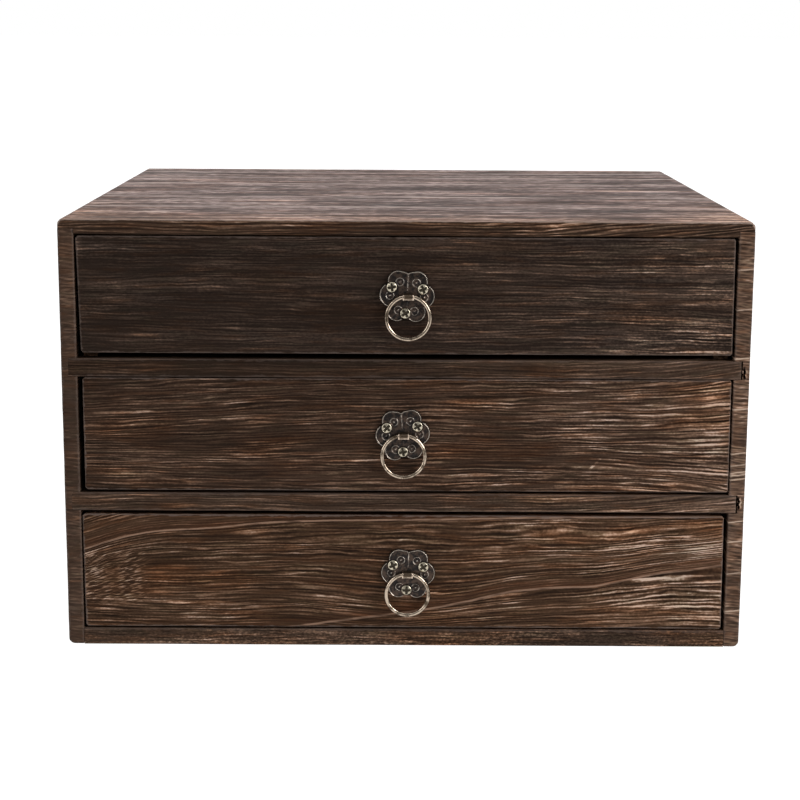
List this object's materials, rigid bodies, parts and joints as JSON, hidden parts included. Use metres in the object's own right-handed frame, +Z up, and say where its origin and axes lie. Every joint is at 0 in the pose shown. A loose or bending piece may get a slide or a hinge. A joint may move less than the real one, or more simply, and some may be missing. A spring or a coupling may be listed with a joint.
{
  "type": "desktop mini drawers",
  "caption": "Small table-top chest of stacked drawers in scorched, brushed wood with antique-brass ring pulls, for crafts and parts.",
  "frame": {"origin": "centre of the flat underside of the case, halfway between its front edges and its back", "axes": "+Z up, +X to the right seen from the front, the drawers open towards -Y"},
  "size_m": [0.336, 0.3292, 0.2135],
  "materials": {
    "case_wood": "scorched, brushed light-weight wood, dry matt with raised grain",
    "end_grain_wood": "scorched side boards, fibrous cut front edges",
    "front_wood": "scorched, brushed wood with tan streaks along the grain",
    "box_wood": "lightly scorched wood, plain sawn",
    "panel_wood": "thin wood sheet, stained brown",
    "plate_bronze": "darkened antique bronze, worn pale on the raised lines",
    "ring_brass": "antique brass, rubbed bright",
    "screw_brass": "pale brassed steel",
    "brad_steel": "plain wire brads"
  },
  "bodies": {
    "case": {"top_board": "case_wood", "bottom_board": "case_wood", "left_side_board": "end_grain_wood", "right_side_board": "end_grain_wood", "upper_shelf": "case_wood", "lower_shelf": "case_wood", "back_panel": "panel_wood", "bottom_brads": "brad_steel", "back_panel_brads": "brad_steel"},
    "upper_drawer": {"upper_drawer_front": "front_wood", "upper_drawer_left_side": "box_wood", "upper_drawer_right_side": "box_wood", "upper_drawer_back": "box_wood", "upper_drawer_bottom": "panel_wood", "upper_drawer_brads": "brad_steel", "upper_pull_plate": "plate_bronze", "upper_pull_hanger": "ring_brass", "upper_pull_screws": "screw_brass"},
    "upper_ring": {"upper_pull_ring": "ring_brass"},
    "middle_drawer": {"middle_drawer_front": "front_wood", "middle_drawer_left_side": "box_wood", "middle_drawer_right_side": "box_wood", "middle_drawer_back": "box_wood", "middle_drawer_bottom": "panel_wood", "middle_drawer_brads": "brad_steel", "middle_pull_plate": "plate_bronze", "middle_pull_hanger": "ring_brass", "middle_pull_screws": "screw_brass"},
    "middle_ring": {"middle_pull_ring": "ring_brass"},
    "lower_drawer": {"lower_drawer_front": "front_wood", "lower_drawer_left_side": "box_wood", "lower_drawer_right_side": "box_wood", "lower_drawer_back": "box_wood", "lower_drawer_bottom": "panel_wood", "lower_drawer_brads": "brad_steel", "lower_pull_plate": "plate_bronze", "lower_pull_hanger": "ring_brass", "lower_pull_screws": "screw_brass"},
    "lower_ring": {"lower_pull_ring": "ring_brass"}
  },
  "joints": [
    {"name": "upper_drawer_slide", "type": "slide", "parent": "case", "child": "upper_drawer", "axis": [0, -1, 0], "range_m": [0, 0.21]},
    {"name": "upper_ring_hinge", "type": "hinge", "parent": "upper_drawer", "child": "upper_ring", "pos_m": [0.0011, -0.16515, 0.1764], "axis": [-1, 0, 0], "range_deg": [0, 165]},
    {"name": "middle_drawer_slide", "type": "slide", "parent": "case", "child": "middle_drawer", "axis": [0, -1, 0], "range_m": [0, 0.21]},
    {"name": "middle_ring_hinge", "type": "hinge", "parent": "middle_drawer", "child": "middle_ring", "pos_m": [-0.0008, -0.16515, 0.10775], "axis": [-1, 0, 0], "range_deg": [0, 165]},
    {"name": "lower_drawer_slide", "type": "slide", "parent": "case", "child": "lower_drawer", "axis": [0, -1, 0], "range_m": [0, 0.21]},
    {"name": "lower_ring_hinge", "type": "hinge", "parent": "lower_drawer", "child": "lower_ring", "pos_m": [0.0015, -0.16515, 0.03725], "axis": [-1, 0, 0], "range_deg": [0, 165]}
  ]
}
